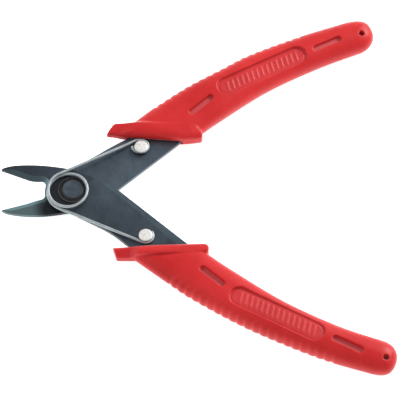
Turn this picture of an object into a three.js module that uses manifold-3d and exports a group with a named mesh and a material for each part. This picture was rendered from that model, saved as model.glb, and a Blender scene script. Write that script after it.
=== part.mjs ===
// Sprue nippers: two lap-jointed steel stampings on one rivet, held open by a wire torsion
// spring, with a moulded grip on each tang. Millimetres, +Z up, jaws towards -X.
// Each half is drawn closed and on its own, with the pivot at the origin, the jaw towards -X
// and the handle on the +Y side, and is then swung open about the rivet.

import * as THREE from 'three';
import { mergeVertices } from 'three/addons/utils/BufferGeometryUtils.js';
import Module from 'manifold-3d';

const wasm = await Module();
wasm.setup();

// ---------- driving dimensions ----------
const HALF_OPENING = THREE.MathUtils.degToRad(18); // each half, from closed to fully open
const PLATE = 1.4;               // thickness of a stamping
const LAP_GAP = 0.1;             // running gap between the stampings
const LAP_FACE = LAP_GAP / 2;
const OUTER_FACE = LAP_FACE + PLATE;
const FIT_GAP = 0.3;             // round a tang in its grip
const SEAT_GAP = 0.05;           // under a rivet or pin shoulder

const JAW_REACH = 23;            // pivot to tip
const BEVEL_WIDTH = 1.7;         // ground bevel, measured across the jaw
const BOSS_RADIUS = 7.9;         // round part of a stamping about the pivot

const RIVET = { shank: 2.5, hole: 2.6, head: 4.6, flat: 3.1, rise: 0.75, rim: 0.25, tail: 4.0 };

const WIRE = 0.8;                // spring wire diameter
const COIL = { x: -1.15, y: -0.5, radius: 6.0 };
const LEG_REACH = 7.05;          // coil centre to the straight upper leg
const LOW_REACH = 6.9;           // coil centre to the straight lower leg
const TURN_TOP = OUTER_FACE + 1.35;
const TURN_LOW = OUTER_FACE + 0.5;

const PIN = { shank: 1.2, hole: 1.35, neck: 1.6, head: 2.25, headHeight: 0.8 };
const REAR_PIN = { x: 24.7, y: 8.4, base: -LAP_FACE, wire: 1.0 };
const FRONT_PIN = { x: 26.7, y: 8.9, base: OUTER_FACE, wire: TURN_LOW };
const HOOK = PIN.neck + 0.1 + WIRE / 2;

const GRIP_THICKNESS = 8.4;
const GRIP_EDGE = 2.6;           // rounding of the grip's long edges
const GUARD_EDGE = 0.9;          // rounding of the finger guard
const REAR_SEAT = { x: -1.8, y: -0.1 };   // how far each grip is pushed on to its tang
const FRONT_SEAT = { x: 1.9, y: 0.2 };
const RIBS = 18;
const RIB_GROOVE = 0.62;
const PANEL = { from: [55.6, 21.1], to: [86.4, 23.5], width: 6.7, depth: 0.5 };
const INNER_SLOT = { from: [44.1, 14.8], to: [53.2, 17.6], width: 1.9, depth: 0.9 };
const OUTER_SLOT = { from: [89.0, 25.6], to: [99.0, 25.8], width: 1.9, depth: 0.9 };
const HANG_HOLE = { x: 105.8, y: 26.1, radius: 0.85 };

// ---------- materials ----------
const blackedSteel = new THREE.MeshStandardMaterial({ color: 0x4c565c, roughness: 0.42, metalness: 0.85 });
const rivetSteel = new THREE.MeshStandardMaterial({ color: 0x454d53, roughness: 0.4, metalness: 0.85 });
const springWire = new THREE.MeshStandardMaterial({ color: 0xc9cfd0, roughness: 0.25, metalness: 1 });
const pinSteel = new THREE.MeshStandardMaterial({ color: 0xe2e2de, roughness: 0.5, metalness: 0.9 });
const redPlastic = new THREE.MeshStandardMaterial({ color: 0xd8272c, roughness: 0.45, metalness: 0 });

// ---------- solids ----------
function solid(geometry) {
  const bare = geometry.clone();
  bare.deleteAttribute('normal');
  bare.deleteAttribute('uv');
  const merged = mergeVertices(bare, 1e-4);
  return new wasm.Manifold(new wasm.Mesh({
    numProp: 3,
    vertProperties: new Float32Array(merged.attributes.position.array),
    triVerts: new Uint32Array(merged.index.array),
  }));
}

function toGeometry(body) {
  const mesh = body.getMesh();
  const geometry = new THREE.BufferGeometry();
  geometry.setAttribute('position', new THREE.BufferAttribute(mesh.vertProperties, 3));
  geometry.setIndex(new THREE.BufferAttribute(mesh.triVerts, 1));
  geometry.computeVertexNormals();
  return geometry;
}

// A flat outline between two heights.
function slab(shape, low, high, curveSegments = 6) {
  const geometry = new THREE.ExtrudeGeometry(shape, {
    depth: high - low, bevelEnabled: false, curveSegments,
  });
  return geometry.translate(0, 0, low);
}

// A flat outline of full thickness about Z = 0, with its long edges rounded.
function pillow(shape, thickness, edge, curveSegments) {
  const geometry = new THREE.ExtrudeGeometry(shape, {
    depth: thickness - 2 * edge,
    bevelThickness: edge,
    bevelSize: edge,
    bevelOffset: -edge,
    bevelSegments: 3,
    curveSegments,
  });
  return geometry.translate(0, 0, edge - thickness / 2);
}

// A disc or post about Z, from [radius, height] pairs that start and end on the axis.
function turned(profile, segments) {
  const geometry = new THREE.LatheGeometry(profile.map(([r, z]) => new THREE.Vector2(r, z)), segments);
  return geometry.rotateX(Math.PI / 2);
}

function post(radius, low, high, x, y, segments = 24) {
  const geometry = new THREE.CylinderGeometry(radius, radius, high - low, segments);
  return geometry.rotateX(Math.PI / 2).translate(x, y, (low + high) / 2);
}

// A straight groove with round ends, as an outline.
function grooveShape({ from, to, width }) {
  const [start, end] = [new THREE.Vector2(...from), new THREE.Vector2(...to)];
  const angle = end.clone().sub(start).angle();
  const half = width / 2;
  const inset = end.clone().sub(start).setLength(half);
  start.add(inset);
  end.sub(inset);
  const shape = new THREE.Shape();
  shape.absarc(end.x, end.y, half, angle - Math.PI / 2, angle + Math.PI / 2, false);
  shape.absarc(start.x, start.y, half, angle + Math.PI / 2, angle + Math.PI * 1.5, false);
  return shape;
}

// ---------- stampings ----------
// The tang's two edges inside the grip; grow widens it for the grip's cavity.
function tangInner(grow) {
  return [[41, 7.9], [46, 11.2], [54, 15.1], [66, 19.2], [78, 22.1], [88, 23.4]]
    .map(([x, y]) => new THREE.Vector2(x, y - grow));
}

function tangOuter(grow) {
  return [[88, 27.6], [76, 26.7], [62, 24.5], [46, 20.6], [30, 15.7], [21.5, 13]]
    .map(([x, y]) => new THREE.Vector2(x, y + grow));
}

function addTangEnd(shape, grow) {
  const inner = tangInner(grow).at(-1);
  const outer = tangOuter(grow)[0];
  const reach = inner.x + (outer.y - inner.y) * 0.6;
  shape.bezierCurveTo(reach, inner.y, reach, outer.y, outer.x, outer.y);
}

function bladeShape() {
  const throat = THREE.MathUtils.degToRad(169);
  const shoulder = THREE.MathUtils.degToRad(80);
  const onBoss = (angle) => [BOSS_RADIUS * Math.cos(angle), BOSS_RADIUS * Math.sin(angle)];
  const shape = new THREE.Shape();
  shape.moveTo(-JAW_REACH, 0.2);
  shape.bezierCurveTo(-22.8, -0.7, -22.3, -1.5, -21, -2);             // nose
  shape.bezierCurveTo(-16, -4.2, -10, -5.5, -4.5, -6.2);               // back of the jaw
  shape.quadraticCurveTo(-1.5, -7.1, 3.5, -6.1);                      // heel
  shape.quadraticCurveTo(9.5, -5.4, 13.5, -4.1);
  shape.lineTo(38.5, 6.8);                                            // inner edge of the arm
  shape.splineThru(tangInner(0));
  addTangEnd(shape, 0);
  shape.splineThru(tangOuter(0).slice(1));
  shape.quadraticCurveTo(16.5, 11.1, 12, 10.1);                       // outer edge of the arm
  shape.lineTo(...onBoss(shoulder));
  shape.absarc(0, 0, BOSS_RADIUS, shoulder, throat, false);
  shape.quadraticCurveTo(-8.6, -0.4, -10.4, -0.3);                    // throat
  shape.quadraticCurveTo(-12.6, 0.4, -14.2, 0.45);                    // relief
  shape.lineTo(-JAW_REACH, 0.2);                                      // cutting edge
  return shape;
}

// The rear stamping, closed: its lap face is up, and the bevel is ground on the far side.
function blade(pin) {
  const plate = solid(slab(bladeShape(), -OUTER_FACE, -LAP_FACE, 5));
  const slope = Math.atan2(PLATE, BEVEL_WIDTH);
  const wedge = new THREE.BoxGeometry(JAW_REACH, 8, 4).translate(-JAW_REACH / 2, 4, -2);
  wedge.rotateX(slope).translate(-10.6, 0.5, -LAP_FACE);
  return plate
    .subtract(solid(wedge))
    .subtract(solid(post(RIVET.hole, -3, 1, 0, 0, 48)))
    .subtract(solid(post(PIN.hole, -3, 1, pin.x, pin.y)));
}

// ---------- grips ----------
// The outer and inner edges of the handle, from the finger guard to the round end.
const EDGE_STEPS = 26;
const edge = (points) => new THREE.SplineCurve(points.map(([x, y]) => new THREE.Vector2(x, y)));
const OUTER_EDGE = edge([[26.5, 16.4], [44.3, 23.3], [64.4, 28.4], [86, 31.2], [102, 31.7]]);
const INNER_EDGE = edge([[103, 20.3], [89, 19.6], [71, 16.7], [53, 10.9], [43.2, 7.2]]);

function handleShape() {
  const end = new THREE.CurvePath();
  end.add(new THREE.CubicBezierCurve(
    new THREE.Vector2(102, 31.7), new THREE.Vector2(107.8, 31.7),
    new THREE.Vector2(109.4, 29.5), new THREE.Vector2(109.4, 26.2),
  ));
  end.add(new THREE.CubicBezierCurve(
    new THREE.Vector2(109.4, 26.2), new THREE.Vector2(109.4, 22.6),
    new THREE.Vector2(107, 20.3), new THREE.Vector2(103, 20.3),
  ));
  return new THREE.Shape([
    ...OUTER_EDGE.getSpacedPoints(EDGE_STEPS),
    ...end.getPoints(5).slice(1, -1),
    ...INNER_EDGE.getSpacedPoints(EDGE_STEPS),
    new THREE.Vector2(28.4, 12),                   // inside the finger guard
  ]);
}

function guardShape() {
  const shape = new THREE.Shape();
  shape.moveTo(17.4, 15.2);                          // tip of the guard, at the mouth
  shape.lineTo(43.4, 4.6);
  shape.quadraticCurveTo(45.4, 4.4, 45.7, 8.2);
  shape.lineTo(28, 16.6);
  shape.quadraticCurveTo(23.5, 18.6, 20.3, 18.6);
  return shape;
}

function cavityShape() {
  const shape = new THREE.Shape();
  shape.moveTo(10, -5.7);
  shape.lineTo(38.5, 6.8 - FIT_GAP);
  shape.splineThru(tangInner(FIT_GAP));
  addTangEnd(shape, FIT_GAP);
  shape.splineThru(tangOuter(FIT_GAP).slice(1));
  shape.lineTo(10, 9.7);
  return shape;
}

function ribGrooves() {
  const first = 0.14;
  const last = 0.8;
  return Array.from({ length: RIBS + 1 }, (_, i) => {
    const at = first + (last - first) * i / RIBS;
    const centre = OUTER_EDGE.getPointAt(at);
    const out = OUTER_EDGE.getTangentAt(at).rotateAround(new THREE.Vector2(), Math.PI / 2);
    centre.addScaledVector(out, RIB_GROOVE * 0.45);
    return post(RIB_GROOVE, -GRIP_THICKNESS, GRIP_THICKNESS, centre.x, centre.y, 8);
  });
}

function grip(seat) {
  const face = GRIP_THICKNESS / 2;
  let body = solid(pillow(handleShape(), GRIP_THICKNESS, GRIP_EDGE, 9))
    .add(solid(pillow(guardShape(), GRIP_THICKNESS, GUARD_EDGE, 4)));
  for (const groove of ribGrooves()) body = body.subtract(solid(groove));
  for (const recess of [PANEL, INNER_SLOT, OUTER_SLOT]) {
    const outline = grooveShape(recess);
    body = body
      .subtract(solid(slab(outline, face - recess.depth, face + 1)))
      .subtract(solid(slab(outline, -face - 1, recess.depth - face)));
  }
  body = body.subtract(solid(post(HANG_HOLE.radius, -face - 1, face + 1, HANG_HOLE.x, HANG_HOLE.y, 16)));
  const cavity = slab(cavityShape(), -OUTER_FACE - FIT_GAP, -LAP_FACE + FIT_GAP, 4);
  cavity.translate(-seat.x, -seat.y, 0);
  return toGeometry(body.subtract(solid(cavity))).translate(seat.x, seat.y, 0);
}

// ---------- rivet, pins and spring ----------
function rivet() {
  const top = OUTER_FACE + RIVET.rise;
  const seat = OUTER_FACE + SEAT_GAP;
  return turned([
    [0, -top], [RIVET.tail - 0.4, -top], [RIVET.tail, -seat - RIVET.rim], [RIVET.tail, -seat],
    [RIVET.shank, -seat], [RIVET.shank, seat], [RIVET.head, seat], [RIVET.head, seat + RIVET.rim],
    [RIVET.flat, top], [0, top],
  ], 48);
}

function springPin(pin) {
  const seat = pin.base + SEAT_GAP;
  const under = pin.wire + WIRE / 2 + SEAT_GAP;
  return turned([
    [0, pin.base - PLATE + SEAT_GAP], [PIN.shank, pin.base - PLATE + SEAT_GAP], [PIN.shank, seat],
    [PIN.neck, seat], [PIN.neck, under], [PIN.head, under],
    [PIN.head, under + PIN.headHeight - 0.2], [PIN.head - 0.2, under + PIN.headHeight],
    [0, under + PIN.headHeight],
  ], 24);
}

// Where a pin stands with the tool open; side is +1 on the rear half and -1 on the front half.
function openPlace(pin, side) {
  const place = new THREE.Vector2(pin.x, side * pin.y);
  return place.rotateAround(new THREE.Vector2(), side * HALF_OPENING);
}

const smooth = (value, from, to) => THREE.MathUtils.smoothstep(value, from, to);

// Points on an arc about a centre; radius and height may follow the angle, in degrees.
function sweep(centre, from, to, step, radius, height) {
  const count = Math.round((to - from) / step);
  return Array.from({ length: count + 1 }, (_, i) => {
    const angle = from + (to - from) * i / count;
    const turn = THREE.MathUtils.degToRad(angle);
    return new THREE.Vector3(
      centre.x + radius(angle) * Math.cos(turn),
      centre.y + radius(angle) * Math.sin(turn),
      height(angle),
    );
  });
}

// The wire runs anticlockwise all the way: hook, upper leg, coil, lower leg, hook.
function spring() {
  const upperLeg = 116;
  const lowerLeg = 605;
  const coilRadius = (angle) => COIL.radius
    + (LEG_REACH - COIL.radius) * (1 - smooth(angle, upperLeg, 185))
    + (LOW_REACH - COIL.radius) * smooth(angle, 450, 540);
  const coilHeight = (angle) => TURN_TOP - (TURN_TOP - TURN_LOW) * smooth(angle, 390, 480);
  const points = [
    ...sweep(openPlace(REAR_PIN, 1), -150, upperLeg, 19, () => HOOK, () => REAR_PIN.wire),
    ...sweep(COIL, upperLeg, lowerLeg, 12, coilRadius, coilHeight),
    ...sweep(openPlace(FRONT_PIN, -1), lowerLeg - 360, 410, 19, () => HOOK, () => FRONT_PIN.wire),
  ];
  const path = new THREE.CatmullRomCurve3(points, false, 'centripetal');
  const section = new THREE.Shape().absarc(0, 0, WIRE / 2, 0, 2 * Math.PI, false);
  return new THREE.ExtrudeGeometry(section, { steps: 190, curveSegments: 4, extrudePath: path });
}

// ---------- assembly ----------
function piece(name, geometry, material) {
  const mesh = new THREE.Mesh(geometry, material);
  mesh.name = name;
  return mesh;
}

const rearHalf = new THREE.Group();
rearHalf.rotation.z = HALF_OPENING;
rearHalf.add(
  piece('rear_blade', toGeometry(blade(REAR_PIN)), blackedSteel),
  piece('rear_grip', grip(REAR_SEAT), redPlastic),
);

// The front half is the same stamping turned over about X.
const frontHalf = new THREE.Group();
frontHalf.rotation.set(Math.PI, 0, -HALF_OPENING, 'ZYX');
frontHalf.add(
  piece('front_blade', toGeometry(blade(FRONT_PIN)), blackedSteel),
  piece('front_grip', grip(FRONT_SEAT), redPlastic),
);

const rearPin = piece('rear_spring_pin', springPin(REAR_PIN), pinSteel);
rearPin.position.set(...openPlace(REAR_PIN, 1), 0);
const frontPin = piece('front_spring_pin', springPin(FRONT_PIN), pinSteel);
frontPin.position.set(...openPlace(FRONT_PIN, -1), 0);

const tool = new THREE.Group();
tool.add(
  rearHalf, frontHalf, rearPin, frontPin,
  piece('pivot_rivet', rivet(), rivetSteel),
  piece('torsion_spring', spring(), springWire),
);

// The origin is under the middle of the open tool, on the surface it lies on.
const box = new THREE.Box3().setFromObject(tool, true);
tool.position.set(-(box.min.x + box.max.x) / 2, -(box.min.y + box.max.y) / 2, -box.min.z);

export default tool;
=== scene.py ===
"""Looks of the sprue nippers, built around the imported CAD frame.

Every shape is worked out in millimetres in the frame of one closed half (pivot at the origin,
jaw towards -X, handle towards +Y) and is then swung open and placed on the CAD pivot.
"""

import math

import bmesh
import bpy
import numpy as np
from mathutils import Matrix, Vector


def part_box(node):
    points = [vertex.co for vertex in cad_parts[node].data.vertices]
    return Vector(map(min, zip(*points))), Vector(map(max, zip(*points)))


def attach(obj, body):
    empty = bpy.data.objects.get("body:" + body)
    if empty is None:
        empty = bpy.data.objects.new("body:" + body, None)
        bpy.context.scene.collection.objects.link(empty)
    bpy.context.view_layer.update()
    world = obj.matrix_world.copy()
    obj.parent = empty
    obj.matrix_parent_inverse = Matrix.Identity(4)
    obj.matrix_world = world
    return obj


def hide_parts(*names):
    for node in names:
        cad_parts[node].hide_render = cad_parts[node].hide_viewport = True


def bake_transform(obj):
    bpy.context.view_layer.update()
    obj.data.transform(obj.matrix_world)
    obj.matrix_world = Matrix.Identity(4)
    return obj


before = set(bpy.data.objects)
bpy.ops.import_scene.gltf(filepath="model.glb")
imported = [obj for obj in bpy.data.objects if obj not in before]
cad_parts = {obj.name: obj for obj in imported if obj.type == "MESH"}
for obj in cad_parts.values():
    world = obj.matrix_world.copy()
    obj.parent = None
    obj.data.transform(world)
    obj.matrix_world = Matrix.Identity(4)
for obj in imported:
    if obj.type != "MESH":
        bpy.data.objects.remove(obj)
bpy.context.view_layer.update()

# ---------------------------------------------------------------- dimensions, mm
MM = 0.001
HALF_OPENING = math.radians(18)
PLATE = 1.4                # thickness of a stamping
LAP_FACE = 0.05            # from the plane between the stampings to the lap face of each
OUTER_FACE = LAP_FACE + PLATE
HEAD_GAP = 0.05            # between a stamping and the shoulder of the rivet or a pin

WIRE = 0.9                 # diameter
COIL_CENTRE = (-1.45, -0.65)
COIL_RADIUS = 6.02
LEG_REACH = 6.3            # the coil's radius where the rear leg meets its upper turn
LOW_REACH = 6.6            # and where the front leg leaves its lower one
TURN_TOP = OUTER_FACE + 1.42
TURN_LOW = OUTER_FACE + 0.48

# Pins: where each stands in its closed half, the face it stands on and the height of the wire round it.
REAR_PIN = dict(x=24.7, y=8.4, base=-LAP_FACE, wire=0.85)
FRONT_PIN = dict(x=26.7, y=8.75, base=OUTER_FACE, wire=TURN_LOW)
PIN_NECK = 1.0             # radii
PIN_HEAD = 2.12
PIN_SHANK = 1.2

# Hooks: hang and elbow are measured from the pin's middle; leave is where the leg meets the coil and
# last where the hook stops, in degrees.
REAR_HOOK = dict(radius=2.12, flare=0.8, hang=(0.1, 0.6), leave=119, last=98, elbow=(-1.6, 2.68))
FRONT_HOOK = dict(radius=2.3, hang=(0.0, 0.11), leave=245, last=400)

REAR_SEAT = (-1.8, -0.1)   # how far each grip is pushed on to its tang
FRONT_SEAT = (1.9, 0.2)

low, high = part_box("pivot_rivet")
PIVOT = (low + high) / 2


# ---------------------------------------------------------------- curves
def catmull(points, steps):
    """A Catmull-Rom spline through the points, as rows of x, y."""
    p = np.array(points, float)
    p = np.vstack([p[:1], p, p[-1:]])
    t = np.linspace(0, 1, steps, endpoint=False)[:, None]
    rows = []
    for a, b, c, d in zip(p, p[1:], p[2:], p[3:]):
        rows.append(
            0.5
            * (
                2 * b
                + (c - a) * t
                + (2 * a - 5 * b + 4 * c - d) * t**2
                + (3 * b - a - 3 * c + d) * t**3
            )
        )
    return np.vstack([*rows, p[-1:]])


def bezier(a, b, c, d, steps):
    t = np.linspace(0, 1, steps + 1)[:, None]
    a, b, c, d = (np.array(v, float) for v in (a, b, c, d))
    return a * (1 - t) ** 3 + 3 * b * t * (1 - t) ** 2 + 3 * c * t**2 * (1 - t) + d * t**3


def quadratic(a, b, c, steps):
    t = np.linspace(0, 1, steps + 1)[:, None]
    a, b, c = (np.array(v, float) for v in (a, b, c))
    return a * (1 - t) ** 2 + 2 * b * t * (1 - t) + c * t**2


def straight(a, b, steps):
    t = np.linspace(0, 1, steps + 1)[:, None]
    return np.array(a, float) * (1 - t) + np.array(b, float) * t


def joined(*parts):
    """Runs of points as one, without the doubled points where they meet."""
    rows = [parts[0]]
    for part in parts[1:]:
        rows.append(part[1:] if np.allclose(part[0], rows[-1][-1], atol=1e-6) else part)
    return np.vstack(rows)


def smooth(value, start, end):
    t = np.clip((np.asarray(value, float) - start) / (end - start), 0, 1)
    return t * t * (3 - 2 * t)


def arc_length(points):
    return np.concatenate([[0], np.cumsum(np.linalg.norm(np.diff(points, axis=0), axis=1))])


# ---------------------------------------------------------------- meshes
def half_matrix(half):
    """From millimetres to the row frame: half is +1 for the rear half, -1 for the front half.

    With 0 the shape is already laid out round the pivot and is only placed on it.
    """
    turn = Matrix.Rotation(half * HALF_OPENING, 4, "Z")
    if half < 0:
        turn = turn @ Matrix.Rotation(math.pi, 4, "X")
    return Matrix.Translation(PIVOT) @ turn @ Matrix.Scale(MM, 4)


def place(name, mesh, half, shade_angle=None):
    """An object from a mesh in mm; creases sharper than shade_angle stay sharp."""
    mesh.transform(half_matrix(half))
    mesh.update()
    obj = bpy.data.objects.new(name, mesh)
    bpy.context.scene.collection.objects.link(obj)
    mesh.polygons.foreach_set("use_smooth", np.ones(len(mesh.polygons), bool))
    if shade_angle is not None:
        mesh.set_sharp_from_angle(angle=math.radians(shade_angle))
    return obj


def make(name, verts, faces, half=0, shade_angle=None):
    mesh = bpy.data.meshes.new(name)
    mesh.from_pydata([tuple(v) for v in verts], [], [tuple(f) for f in faces])
    return place(name, mesh, half, shade_angle)


def mark(obj, name, values):
    """A number at each vertex, for the material."""
    layer = obj.data.attributes.new(name, "FLOAT", "POINT")
    layer.data.foreach_set("value", np.asarray(values, np.float32))


def circle(centre, radius, sides):
    turns = [2 * math.pi * k / sides for k in range(sides)]
    return [(centre[0] + radius * math.cos(a), centre[1] + radius * math.sin(a)) for a in turns]


def lathe(profile, sides):
    """Rows of [radius, height] turned about Z, closed on the axis at both ends."""
    verts, faces, rings = [], [], []
    for radius, height in profile:
        if radius < 1e-9:
            rings.append([len(verts)])
            verts.append((0, 0, height))
        else:
            rings.append(list(range(len(verts), len(verts) + sides)))
            verts.extend((x, y, height) for x, y in circle((0, 0), radius, sides))
    for lower, upper in zip(rings, rings[1:]):
        for k in range(sides):
            n = (k + 1) % sides
            if len(lower) == 1:
                faces.append((lower[0], upper[n], upper[k]))
            elif len(upper) == 1:
                faces.append((lower[k], lower[n], upper[0]))
            else:
                faces.append((lower[k], lower[n], upper[n], upper[k]))
    return verts, faces


def rounded(profile, radius, steps=4):
    """A lathe profile with each inner corner rounded, as far as its neighbours leave room."""
    p = [np.array(v, float) for v in profile]
    out = [p[0]]
    for a, b, c in zip(p, p[1:], p[2:]):
        r = min(radius, 0.45 * np.linalg.norm(a - b), 0.45 * np.linalg.norm(c - b))
        start = b + (a - b) / np.linalg.norm(a - b) * r
        end = b + (c - b) / np.linalg.norm(c - b) * r
        out.extend(quadratic(start, b, end, steps))
    out.append(p[-1])
    return out


# ---------------------------------------------------------------- surface of a field
def surface_nets(field, origin, pitch):
    """Closed quads on the zero surface of a 3-D grid of values, negative inside."""
    inside = field < 0
    count = np.zeros(tuple(n - 1 for n in field.shape), np.int8)
    corners = [(i, j, k) for i in (0, 1) for j in (0, 1) for k in (0, 1)]
    nx, ny, nz = count.shape
    for i, j, k in corners:
        count += inside[i : i + nx, j : j + ny, k : k + nz]
    active = (count > 0) & (count < 8)
    index = np.full(active.shape, -1, np.int64)
    cells = np.argwhere(active)
    index[active] = np.arange(len(cells))
    total = np.zeros((len(cells), 3))
    crossings = np.zeros(len(cells))
    for a in corners:
        for axis in range(3):
            if a[axis]:
                continue
            b = list(a)
            b[axis] = 1
            va = field[tuple((cells + a).T)]
            vb = field[tuple((cells + b).T)]
            cross = (va < 0) != (vb < 0)
            t = np.where(cross, va / np.where(cross, va - vb, 1), 0)
            point = np.array(a, float) + t[:, None] * (np.array(b) - np.array(a))
            total += np.where(cross[:, None], point, 0)
            crossings += cross
    verts = (cells + total / crossings[:, None]) * pitch + origin
    quads = []
    around = {
        0: [(0, -1, -1), (0, 0, -1), (0, 0, 0), (0, -1, 0)],
        1: [(-1, 0, -1), (-1, 0, 0), (0, 0, 0), (0, 0, -1)],
        2: [(-1, -1, 0), (0, -1, 0), (0, 0, 0), (-1, 0, 0)],
    }
    for axis in range(3):
        ahead = np.moveaxis(inside, axis, 0)
        change = np.zeros(inside.shape, bool)
        np.moveaxis(change, axis, 0)[:-1] = ahead[:-1] != ahead[1:]
        at = np.argwhere(change)
        quad = np.stack([index[tuple((at + o).T)] for o in around[axis]], axis=1)
        solid = inside[tuple(at.T)]
        quads.append(np.where(solid[:, None], quad, quad[:, ::-1]))
    return verts, np.vstack(quads)


def settle(verts, value, pitch, rounds=4):
    """Moves each point on to the exact surface of value(points)."""
    eps = 0.2 * pitch
    for _ in range(rounds):
        f = value(verts)
        grad = np.stack(
            [(value(verts + d) - value(verts - d)) / (2 * eps) for d in np.eye(3) * eps],
            axis=1,
        )
        step = grad * (f / np.maximum((grad**2).sum(1), 0.05))[:, None]
        length = np.linalg.norm(step, axis=1, keepdims=True)
        verts = verts - step * np.minimum(1, 0.3 * pitch / np.maximum(length, 1e-9))
    return verts


def smax(a, b, k):
    h = np.clip(0.5 + 0.5 * (a - b) / k, 0, 1)
    return b + (a - b) * h + k * h * (1 - h)


def smin(a, b, k):
    return -smax(-a, -b, k)


class Plan:
    """A flat field on a fine grid, looked up between its points."""

    def __init__(self, x0, y0, pitch, values):
        self.x0, self.y0, self.pitch, self.values = x0, y0, pitch, values

    def __call__(self, x, y):
        nx, ny = self.values.shape
        fx = np.clip((x - self.x0) / self.pitch, 0, nx - 1.001)
        fy = np.clip((y - self.y0) / self.pitch, 0, ny - 1.001)
        i, j = fx.astype(int), fy.astype(int)
        u, v = fx - i, fy - j
        t = self.values
        return (
            t[i, j] * (1 - u) * (1 - v)
            + t[i + 1, j] * u * (1 - v)
            + t[i, j + 1] * (1 - u) * v
            + t[i + 1, j + 1] * u * v
        )


def line_distance(x, y, points):
    """Distance from each place to an open run of points, and how far along it the nearest point is."""
    best = np.full(x.shape, 1e9)
    along = np.zeros(x.shape)
    travelled = 0.0
    for (ax, ay), (bx, by) in zip(points, points[1:]):
        dx, dy = bx - ax, by - ay
        length2 = dx * dx + dy * dy
        length = math.sqrt(length2)
        t = np.clip(((x - ax) * dx + (y - ay) * dy) / length2, 0, 1)
        d = np.hypot(x - ax - t * dx, y - ay - t * dy)
        nearer = d < best
        best = np.where(nearer, d, best)
        along = np.where(nearer, travelled + t * length, along)
        travelled += length
    return best, along


def inside_of(x, y, ring):
    """Which places are inside a closed ring of points."""
    odd = np.zeros(x.shape, bool)
    for (ax, ay), (bx, by) in zip(ring, np.roll(ring, -1, axis=0)):
        if ay == by:
            continue
        crosses = ((ay > y) != (by > y)) & (x < (bx - ax) * (y - ay) / (by - ay) + ax)
        odd ^= crosses
    return odd


def ring_distance(x, y, ring):
    """Signed distance to a closed ring of points, negative inside."""
    d, _ = line_distance(x, y, np.vstack([ring, ring[:1]]))
    return np.where(inside_of(x, y, ring), -d, d)


def capsule(x, y, start, end, width):
    """Signed distance to a straight groove with round ends."""
    a, b = np.array(start, float), np.array(end, float)
    inset = (b - a) / np.linalg.norm(b - a) * width / 2
    d, _ = line_distance(x, y, [a + inset, b - inset])
    return d - width / 2


# ---------------------------------------------------------------- grips
GRIP_PITCH = 0.25
PLAN_PITCH = 0.14
PLAN_BOX = (13.0, 1.5, 112.5, 35.0)
GRIP_CORNER = (14.6, 2.4)  # of the box that holds a grip, seen from above
GRIP_SPAN = (96.0, 31.0)
GRIP_HALF = 4.2
CROWN_REACH = 6.2          # from the edge to the flat of the crown
CROWN_POWER = 2.3
CROWN_SLOPE = 4.6          # brings the section's field near to a distance in mm, and the guard's
GUARD_SLOPE = 2.2
LOW_SHOULDER = 3.15        # half thickness just behind the guard
END_DROP = 0.35            # how much thinner the far end is, each side
MOUTH_INSET = 0.9          # how far behind the guard's mouth the body starts
INNER_END_CORNER = 0.62    # how full the round end is on the inner side
INBOARD_REACH = 27.0       # from the outboard tip to where the guard has its inboard section
BRIM_RUN = 9.0             # the length over which the brim's slice ends, and how far down it goes
BRIM_LAG = 3.5             # how much later it ends on the side away from the camera
RIB_DEPTH = 0.48
RIB_FADE = 1.7
PANEL = dict(start=(55.4, 19.7), end=(86.4, 25.0), width=6.5, depth=0.95)
INNER_SLOT = dict(start=(44.2, 14.2), end=(53.2, 18.2), width=2.15, depth=1.1)
OUTER_SLOT = dict(start=(88.9, 24.8), end=(99.0, 26.4), width=2.15, depth=1.1)
PANEL_RISE = 0.16          # the middle of the panel's floor stands above its rim
BAR_RISE = 0.2
BAR_PITCH = 1.75
BAR_SLANT = 0.25
RECESS_DRAFT = 0.3
HANG_HOLE = dict(x=105.8, y=26.1, radius=0.85)
FIT_GAP = 0.25


def handle_edges(plan):
    """Outer edge, round end and inner edge of one handle."""
    outer, inner = catmull(plan["outer"], 24), catmull(plan["inner"], 24)
    (x0, y0), (x1, y1) = outer[-1], inner[0]
    x, y = plan["end"]
    outer_corner = (x0 + plan["corner"] * (x - x0), y0)
    inner_corner = (x1 + INNER_END_CORNER * (x - x1), y1)
    tip = joined(
        bezier((x0, y0), outer_corner, (x, y + 3.3), (x, y), 20),
        bezier((x, y), (x, y - 3.6), inner_corner, (x1, y1), 20),
    )
    return outer, tip, inner


# Seen from above: the handle's outer edge, round end and inner edge, then the finger guard's mouth,
# inboard end, back edge and outboard tip.
# wall, crest and nose: side wall, height and depth of the guard at the outboard tip, in the middle and
# at the inboard end. grows: how far from the tip it starts to grow and has its middle section.
# brim: where the guard's flat top starts to end, and its height on the two sides.
# ribs: how many, and where along the outer edge they start and stop.
REAR_PLAN = dict(
    outer=[
        (25.5, 17.5), (33.2, 20.85), (40.7, 23.6), (48.1, 25.9),
        (58.9, 28.4), (69.5, 30.8), (86, 32.4), (102, 33.0),
    ],
    end=(110.15, 27.55),
    corner=0.84,
    inner=[(103, 21.5), (89, 20.2), (71, 16.85), (53, 10.85), (43.2, 6.9)],
    mouth=[(17.65, 16.35), (24.0, 13.45), (40.0, 6.95), (45.2, 5.7)],
    inboard=[(45.9, 6.3), (45.9, 7.2), (45.4, 8.2)],
    back=[(43.6, 9.4), (26.6, 17.0), (21.4, 18.9)],
    tip=[(20.55, 18.8), (17.6, 16.55)],
    wall=(0.45, 0.85, 0.95),
    crest=(1.8, 3.45, 2.5),
    grows=(1.5, 13),
    nose=(3.0, 3.0, 2.2),
    brim=dict(start=19.0, shown=1.2, hidden=1.4),
    ribs=dict(count=20, first=0.135, last=0.8),
    blend=1.6,
)
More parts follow.
